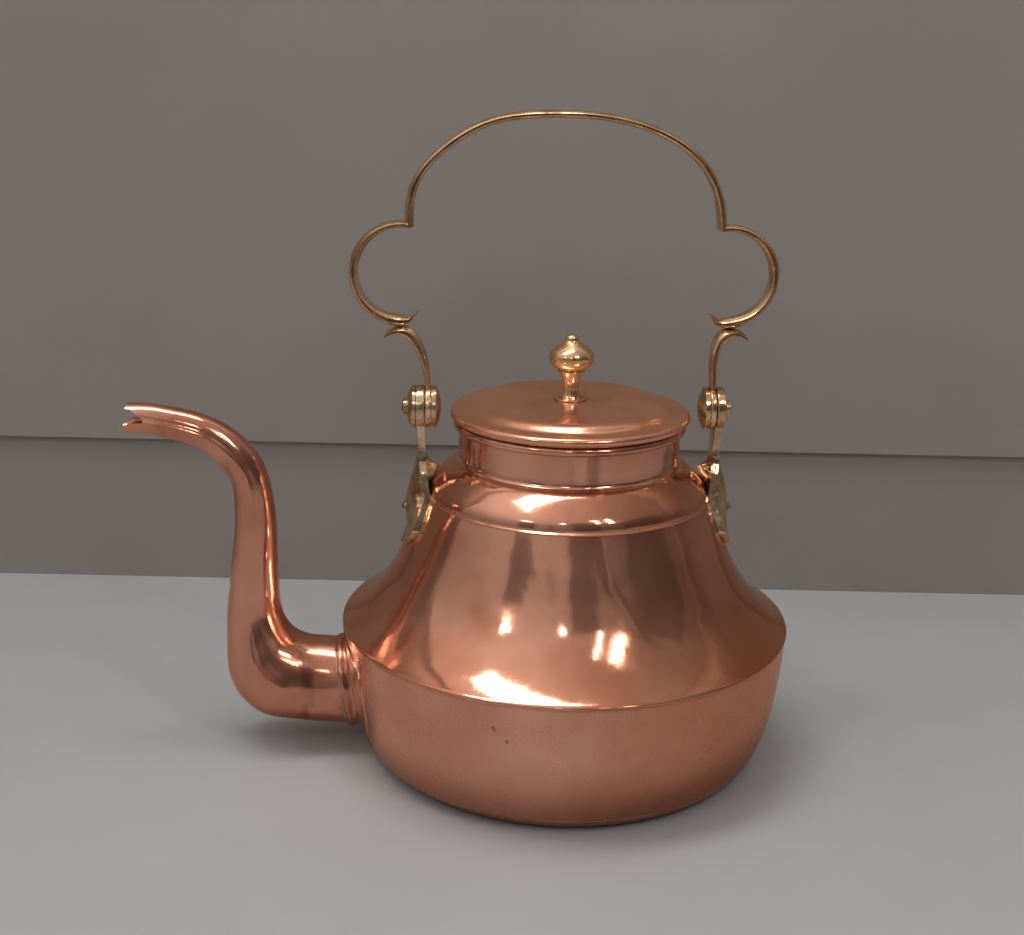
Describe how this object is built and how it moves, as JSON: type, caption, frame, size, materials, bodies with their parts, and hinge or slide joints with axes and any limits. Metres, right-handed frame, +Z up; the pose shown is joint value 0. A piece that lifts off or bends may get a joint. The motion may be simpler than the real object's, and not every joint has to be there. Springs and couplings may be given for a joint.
{
  "type": "copper kettle",
  "caption": "Copper kettle with a waisted body, swan-neck spout with a notched mouth, lift-off lid with a brass knob, and a lobed brass bail handle that swings on riveted lugs.",
  "frame": {"origin": "centre of the flat underside, on the body's axis", "axes": "+Z up along the body's axis; the spout points along -X; the handle's pivot axis is parallel to X, so the upright bail stands in the XZ plane"},
  "size_m": [0.4425, 0.3, 0.4287],
  "materials": {
    "copper_drum": "satin worn copper",
    "copper_waist": "polished copper",
    "copper_spout": "polished copper",
    "copper_lid": "polished copper",
    "brass_fittings": "dull cast brass",
    "brass_handle": "rubbed cast brass",
    "brass_knob": "polished brass"
  },
  "bodies": {
    "kettle_body": {"base_pan": "copper_drum", "lower_body": "copper_drum", "upper_body": "copper_waist", "shoulder": "copper_waist", "neck_collar": "copper_waist", "neck_rim_wire": "brass_fittings", "spout": "copper_spout", "spout_socket": "copper_spout", "lug_right": "brass_fittings", "lug_left": "brass_fittings", "lug_rivets": "brass_fittings", "lug_rivet_burrs": "brass_fittings", "pivot_pin_right": "brass_fittings", "pivot_pin_left": "brass_fittings", "pivot_spacers": "brass_fittings", "pivot_washer_right": "brass_fittings", "pivot_washer_left": "brass_fittings"},
    "handle": {"handle_arch": "brass_handle", "handle_lobe_right": "brass_handle", "handle_lobe_left": "brass_handle", "handle_arm_right": "brass_handle", "handle_arm_left": "brass_handle"},
    "lid": {"lid_cover": "copper_lid", "lid_flange": "copper_lid", "knob_washer": "brass_knob", "lid_knob": "brass_knob", "knob_burr": "brass_knob"}
  },
  "joints": [
    {"name": "handle_swing", "type": "hinge", "parent": "kettle_body", "child": "handle", "pos_m": [0, 0, 0.239], "axis": [1, 0, 0], "range_deg": [-130, 130]},
    {"name": "lid_lift", "type": "slide", "parent": "kettle_body", "child": "lid", "axis": [0, 0, 1], "range_m": [0, 0.05]}
  ]
}
